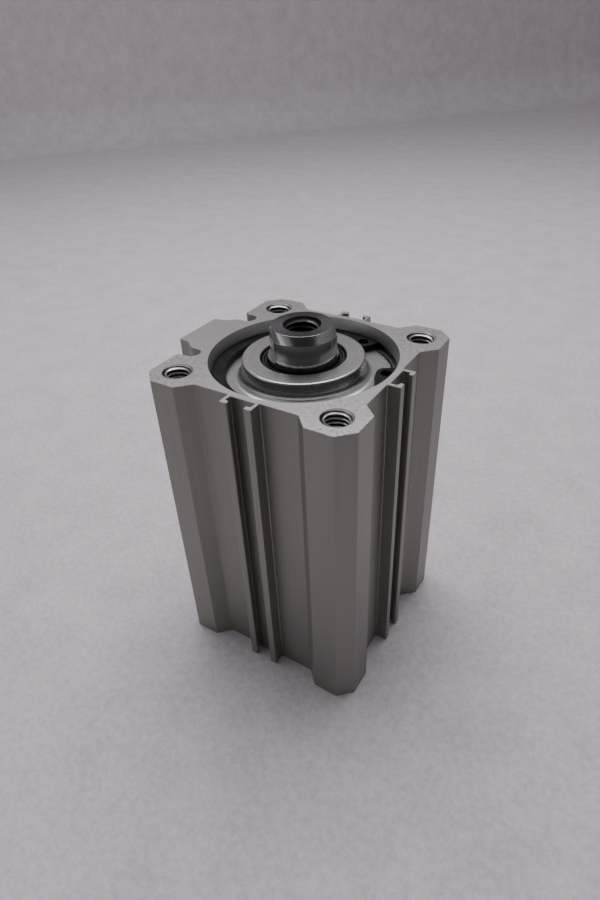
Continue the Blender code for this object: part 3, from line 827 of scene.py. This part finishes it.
def make_clip(name, node, z0, z1, gap_mid):
    shell = Shell()
    loop = clip_loop()
    holes = []
    for sign in (1, -1):
        a = math.radians(sign * (CLIP_GAP + 8.3))
        holes.append((18.9 * math.cos(a), 18.9 * math.sin(a)))
    turn = math.radians(gap_mid)
    c, s = math.cos(turn), math.sin(turn)

    def place(x, y, z):
        return (x * c - y * s, x * s + y * c, z)
    soft, crisp = 0.16, 0.05            # a stamped ring has one rolled and one crisp edge
    loops = [(inset(loop, crisp), z0), (loop, z0 + crisp), (loop, z1 - soft), (inset(loop, soft * 0.35), z1 - soft * 0.35),
             (inset(loop, soft), z1)]
    shell.strips([[place(x, y, z) for x, y in lp] for lp, z in loops], [0] * len(loops))
    for z, d in ((z1, soft), (z0, crisp)):
        cap(shell, inset(loop, d), [circle(1.3 + d * 0.6, 28, hx, hy) for hx, hy in holes], z, 0, place)
    for hx, hy in holes:
        rows = []
        for r, z in ((1.3 + crisp * 0.6, z0), (1.3, z0 + crisp), (1.3, z1 - soft), (1.3 + soft * 0.6, z1)):
            rows.append([place(x, y, z) for x, y in circle(r, 28, hx, hy)])
        shell.strips(rows, [0] * 3)
    return piece(name, shell, [M_CLIP], node, "barrel")


def make_cover():
    nose = COVER_HI[2]
    z = [(0.0, 0.75, 0), (1.15, 0.05, 0), (1.2, 0.0, 0), (13.72, 0.0, 0.05), (14.0, 0.28, 0.06), (14.0, FLANGE_DEEP, 2.0),
         (20.3, FLANGE_DEEP, 0.2),
         (20.3, 5.25, 0.12), (18.2, 5.25, 0.2), (18.2, 7.65, 0.2), (20.3, 7.65, 0.12), (20.3, 8.2, 0.2), (18.0, 8.2, 0.1),
         (18.0, nose, 0.3), (13.4, nose, 0.1), (13.4, nose - 1.3, 0.1), (10.6, nose - 1.3, 0.1), (10.6, nose, 0.1),
         (0.0, nose, 0)]
    line = rounded([(r, h, c, 0) for r, h, c in z], closed=False)
    shell = Shell()
    lathe(shell, line, 144, closed=False)
    return piece("head_cover_turned", shell, [M_COVER], "head_cover", "barrel")


make_collar()
make_seal()
make_bushing()
cord_ring("collar_o_ring_cord", 19.4, TOP - 6.45, 0.95, "collar_o_ring", "barrel")
make_bumper("front_bumper_ring", "front_bumper")
make_clip("front_retaining_clip", "front_retaining_ring", CLIP_LO[2], CLIP_HI[2], 44.5)
make_cover()
cord_ring("head_o_ring_cord", 19.4, 6.45, 0.95, "head_cover_o_ring", "barrel")
make_bumper("rear_bumper_ring", "rear_bumper")
make_clip("head_retaining_clip", "head_retaining_ring", TAIL_CLIP_LO[2], TAIL_CLIP_HI[2], -60.0)


# ------------------------------------------------------------------ rod
def make_rod():
    """The rod: round shaft, two wrench flats that run out in the nose, tapped nose, stepped tail."""
    CHROME, FACE, FLAT, TAPPED = 0, 1, 2, 3
    flat_d, flat_from, flat_at = 7.0, TIP - 7.0, math.radians(42.0)
    n_flat, n_round = 12, 60
    shell = Shell()

    def ring_at(r, z, flats):
        h = math.acos(flat_d / r) if r > flat_d else 0.0
        side = math.tan(h)
        row = []
        for turn in (0.0, math.pi):
            for i in range(n_flat):
                a = math.atan(side * (2.0 * i / n_flat - 1.0))
                rr = flat_d / math.cos(a) if (flats and h > 0.0) else r
                row.append((rr * math.cos(flat_at + turn + a), rr * math.sin(flat_at + turn + a), z))
            for i in range(n_round):
                a = h + (math.pi - 2.0 * h) * i / n_round
                row.append((r * math.cos(flat_at + turn + a), r * math.sin(flat_at + turn + a), z))
        return row

    nose = rounded([(8.0, flat_from, 0, CHROME), (8.0, TIP - 1.8, 0.25, CHROME), (6.85, TIP, 0.12, FACE),
                    (5.5, TIP, 0, FACE)], closed=False, step=9)
    low = rounded([(0.0, ROD_LO[2], 0, FACE), (4.5, ROD_LO[2], 0, FACE), (5.0, ROD_LO[2] + 0.5, 0, FACE),
                   (5.0, 27.7, 0.1, FACE), (8.0, 27.7, 0.2, CHROME), (8.0, flat_from, 0, CHROME)], closed=False)
    rows = [ring_at(max(r, 1e-5), z, False) for r, z, _ in low]
    tags = [t for _, _, t in low]
    tags[-1] = FLAT
    for r, z, t in nose[:-1]:
        rows.append(ring_at(r, z, True))
        tags.append(t)
    n = len(rows[0])
    k = len(shell.co)
    for row in rows:
        shell.co.extend(row)
    first_up = len(low)
    for i in range(len(rows) - 1):
        for j in range(n):
            a, b = k + i * n + j, k + i * n + (j + 1) % n
            is_flat = (j % (n_flat + n_round)) < n_flat
            tag = FLAT if (is_flat and i >= first_up - 1 and tags[i] != FACE) else tags[i]
            if i == first_up - 1:
                tag = FLAT
            shell.faces.append((a, b, b + n, a + n))
            shell.mats.append(tag)
    # the nose's flat ring, down to the countersink
    last = []
    for x, y, z in rows[-1]:
        if not last or math.hypot(x - last[-1][0], y - last[-1][1]) > 1e-4:
            last.append((x, y))
    if math.hypot(last[0][0] - last[-1][0], last[0][1] - last[-1][1]) < 1e-4:
        last.pop()
    cap(shell, last, [circle(4.3, N_HOLE)], TIP, FACE)
    deep = 13.0
    threaded(shell, lambda a, b, s: (a, b, TIP - s), 4.3, 3.35, 4.0, 1.25, deep, N_HOLE, TAPPED, TAPPED)
    ring = circle(3.35, N_HOLE)
    shell.strips([[(x, y, TIP - deep) for x, y in ring], [(x, y, TIP - 16.0) for x, y in ring],
                  [(x * 1e-6, y * 1e-6, TIP - 17.6) for x, y in ring]], [TAPPED, TAPPED])
    return piece("piston_rod_chromed", shell, [M_CHROME, M_ROD_END, M_FLAT, M_ROD_THREAD], "piston_rod", "rod")


make_rod()


# ------------------------------------------------------------------ piston
def ring_corners(r0, r1, z0, z1, c):
    return [(r0, z0, c, 0), (r1, z0, c, 0), (r1, z1, c, 0), (r0, z1, c, 0)]


def make_piston():
    pr = 19.65
    lo, hi = box_mm("piston_front_half")
    z0, z1 = lo[2], hi[2]
    front = [(7.2, z0, 0.1), (pr, z0, 0.25), (pr, 20.9, 0.08), (18.3, 20.9, 0.12), (18.3, 23.1, 0.12), (pr, 23.1, 0.08),
             (pr, 23.8, 0.08), (16.4, 23.8, 0.15), (16.4, 26.4, 0.15), (pr, 26.4, 0.08), (pr, z1 - 0.5, 0.1),
             (pr - 0.5, z1, 0.1), (5.3, z1, 0.15), (5.3, 22.3, 0.1), (7.2, 22.3, 0.15)]
    turned_piece("piston_front_turned", [(r, z, c, 0) for r, z, c in front], 144, [M_PISTON], "piston_front_half",
                 "rod")
    lo, hi = box_mm("piston_rear_half")
    z0 = lo[2]
    rear = [(9.9, z0, 0.2), (18.1, z0, 0.1), (18.4, z0 + 0.3, 0.1), (18.4, 12.6, 0.2), (pr, 13.2, 0.1), (pr, 16.3, 0.15),
            (13.7, 16.3, 0.1), (13.7, 20.0, 0.15), (5.3, 20.0, 0.15), (5.3, 16.9, 0.05), (9.9, 16.9, 0.15)]
    turned_piece("piston_rear_turned", [(r, z, c, 0) for r, z, c in rear], 144, [M_PISTON], "piston_rear_half",
                 "rod")
    turned_piece("piston_magnet_ring", ring_corners(14.0, 19.3, 16.6, 20.0, 0.2), 120, [M_MAGNET], "piston_magnet",
                 "rod")
    z0, z1 = 24.1, 26.1
    seal = [(16.7, z0, 0.15), (19.0, z0, 0.1), (19.7, z0 + 0.15, 0.06), (19.7, z0 + 0.55, 0.1), (19.2, z0 + 1.0, 0.25),
            (19.7, z1 - 0.55, 0.1), (19.7, z1 - 0.15, 0.06), (19.0, z1, 0.1), (16.7, z1, 0.15)]
    turned_piece("piston_seal_lips", [(r, z, c, 0) for r, z, c in seal], 144, [M_SEAL], "piston_seal",
                 "piston_seals")
    shell = Shell()
    line = rounded(ring_corners(18.6, 19.7, 21.2, 22.8, 0.15))
    swept(shell, line, 132, math.radians(4.0), math.radians(356.0), slant=0.035)
    piece("piston_wear_band", shell, [M_RESIN], "piston_wear_ring", "piston_seals")
    cord_ring("piston_o_ring_cord", 6.1, 21.25, 0.72, "piston_o_ring", "rod", n=72, m=16)
    turned_piece("piston_washer_plain", ring_corners(5.3, 9.2, 15.8, 16.6, 0.12), 72, [M_PLATED], "piston_washer",
                 "rod")


def make_nut():
    z0, z1 = 10.9, 15.5
    flat, n = 9.2 * math.cos(math.pi / 6), 72
    shell = Shell()

    def row(r_max, z):
        out = []
        for k in range(n):
            a = TAU * k / n
            off = (a % (math.pi / 3)) - math.pi / 6
            r = min(flat / math.cos(abs(off)), r_max)
            out.append((r * math.cos(a), r * math.sin(a), z))
        return out
    turn = math.pi / 6
    spin = Matrix.Rotation(turn, 3, "Z")
    zs = [(flat - 0.15, z0), (flat + 0.25, z0 + 0.23), (flat + 0.7, z0 + 0.49), (9.2, z0 + 0.78), (9.2, z1 - 0.78),
          (flat + 0.7, z1 - 0.49), (flat + 0.25, z1 - 0.23), (flat - 0.15, z1)]
    outer = [[tuple(spin @ Vector(p)) for p in row(r, z)] for r, z in zs]
    shell.strips(outer, [0] * len(outer))
    for z, edge in ((z0, outer[0]), (z1, outer[-1])):
        cap(shell, [(x, y) for x, y, _ in edge], [circle(5.75, N_HOLE)], z)
    rows, pitch = [], 0.92
    for m in range(-1, 6):
        for ph, r_t in ((0.0, 5.3), (0.2, 5.3), (0.5, 5.62), (0.65, 5.62)):
            out = []
            for k in range(N_HOLE + 1):
                s = (m + ph) * pitch + pitch * k / N_HOLE
                a = -TAU * k / N_HOLE
                s = min(max(s, 0.0), z1 - z0)
                r = max(r_t, 5.75 - s, 5.75 - (z1 - z0 - s))
                out.append((r * math.cos(a), r * math.sin(a), z1 - s))
            rows.append(out)
    shell.strips(rows, [0] * len(rows), wrap=False)
    return piece("piston_nut_hex", shell, [M_PLATED], "piston_nut", "rod")


make_piston()
make_nut()


# ------------------------------------------------------------------ stage
def make_stage():
    """A pale floor that turns up into a backdrop well behind the object."""
    f = Finish("pale_floor", 0.0, 0.65, specular=0.25)
    speck = f.noise(0.55, 5.0, 0.8)
    soft = f.noise(0.06, 3.0, 0.6)
    tone = f.math("ADD", f.math("MULTIPLY", speck, 0.7), f.math("MULTIPLY", soft, 0.3))
    f.colour(f.mix(f.range(tone, 0.38, 0.62, 0.0, 1.0), (0.555, 0.506, 0.550), (0.745, 0.690, 0.742)))
    f.bump(speck, 0.7, 0.35)
    away = Vector((-0.777, 0.63, 0.0))
    along = Vector((0.63, 0.777, 0.0))
    near, wall, bend, high = -2.0, 0.93, 0.06, 1.4
    line = [(near, 0.0), (wall - bend, 0.0)]
    line += [(wall - bend + bend * math.sin(math.radians(a)), bend - bend * math.cos(math.radians(a)))
             for a in range(10, 91, 10)]
    line.append((wall, high))
    verts, faces = [], []
    for d, z in line:
        for s in (-2.5, 2.5):
            verts.append(away * d + along * s + Vector((0, 0, z)))
    for i in range(len(line) - 1):
        faces.append((2 * i, 2 * i + 1, 2 * i + 3, 2 * i + 2))
    mesh = bpy.data.meshes.new("backdrop")
    mesh.from_pydata([tuple(v) for v in verts], [], faces)
    mesh.shade_smooth()
    mesh.materials.append(f.mat)
    obj = bpy.data.objects.new("backdrop", mesh)
    bpy.context.scene.collection.objects.link(obj)

    # a dark card behind the camera, as a person there would be
    dark = Finish("dark_card", 0.0, 0.9, specular=0.1)
    dark.colour(dark.mix(dark.noise(0.05), (0.015, 0.015, 0.016), (0.02, 0.02, 0.021)))
    mesh = bpy.data.meshes.new("dark_card")
    back = Vector((0.557, -0.830, 0.0))
    side = Vector((0.830, 0.557, 0.0))
    pts = []
    for s, d, z in ((-0.34, 0.26, 0.10), (0.34, 0.26, 0.10), (0.34, 0.24, 0.30), (-0.34, 0.24, 0.30),
                    (0.30, 0.36, 0.50), (-0.30, 0.36, 0.50)):
        pts.append(tuple(back * d + side * s + Vector((0, 0, z))))
    mesh.from_pydata(pts, [], [(0, 1, 2, 3), (3, 2, 4, 5)])
    mesh.materials.append(dark.mat)
    card = bpy.data.objects.new("dark_card", mesh)
    bpy.context.scene.collection.objects.link(card)
    card.visible_camera = False


def area(name, at, to, size, power, colour=(1.0, 1.0, 1.0), size_y=None):
    light = bpy.data.lights.new(name, "AREA")
    light.shape = "RECTANGLE"
    light.size = size
    light.size_y = size_y or size
    light.energy = power
    light.color = colour
    obj = bpy.data.objects.new(name, light)
    bpy.context.scene.collection.objects.link(obj)
    obj.location = at
    obj.rotation_mode = "QUATERNION"
    obj.rotation_quaternion = (Vector(to) - Vector(at)).to_track_quat("-Z", "Y")
    return obj


WORLD_LOW, WORLD_HIGH = 0.19, 0.40
OVERHEAD_W = 3.5


def make_lights():
    world = bpy.data.worlds.new("soft_room")
    bpy.context.scene.world = world
    world.use_nodes = True
    tree = world.node_tree
    coord = tree.nodes.new("ShaderNodeTexCoord")
    parts = tree.nodes.new("ShaderNodeSeparateXYZ")
    tree.links.new(coord.outputs["Generated"], parts.inputs[0])
    up = tree.nodes.new("ShaderNodeMapRange")
    up.inputs[1].default_value, up.inputs[2].default_value = 0.0, 0.85
    up.inputs[3].default_value, up.inputs[4].default_value = WORLD_LOW, WORLD_HIGH
    tree.links.new(parts.outputs["Z"], up.inputs[0])
    tree.links.new(up.outputs[0], tree.nodes["Background"].inputs[1])
    tree.nodes["Background"].inputs[0].default_value = (1.0, 0.985, 1.0, 1.0)
    area("overhead", (-0.12, 0.175, 0.58), (-0.02, 0.03, 0.03), 0.55, OVERHEAD_W, (1.0, 0.985, 0.99), 0.42)
    area("window", (-0.46, -0.44, 0.24), (0.0, 0.0, 0.08), 0.34, 0.23, (1.0, 0.985, 0.99), 0.26)


def make_camera():
    """Camera at the photograph's viewing angle, from a calibration against the CAD corners."""
    r = Vector((2.124991874, 0.589149554, -0.361817562))
    t = Vector((0.74764058, -21.713966302, 138.862))
    turn = Matrix.Rotation(r.length, 3, r.normalized())          # rows: right, down, forward
    eye = -(turn.transposed() @ t)
    data = bpy.data.cameras.new("camera")
    data.sensor_fit = "AUTO"
    data.sensor_width = 36.0
    data.lens = 614.172433722 * 36.0 / 900.0
    data.clip_start, data.clip_end = 0.005, 20.0
    data.dof.use_dof = False
    cam = bpy.data.objects.new("camera", data)
    bpy.context.scene.collection.objects.link(cam)
    right, down, ahead = turn[0], turn[1], turn[2]
    pose = Matrix((( right[0], -down[0], -ahead[0], eye[0] * MM),
                   ( right[1], -down[1], -ahead[1], eye[1] * MM),
                   ( right[2], -down[2], -ahead[2], (eye[2] + TOP) * MM),
                   (0.0, 0.0, 0.0, 1.0)))
    cam.matrix_world = pose
    bpy.context.scene.camera = cam


make_stage()
make_lights()
make_camera()
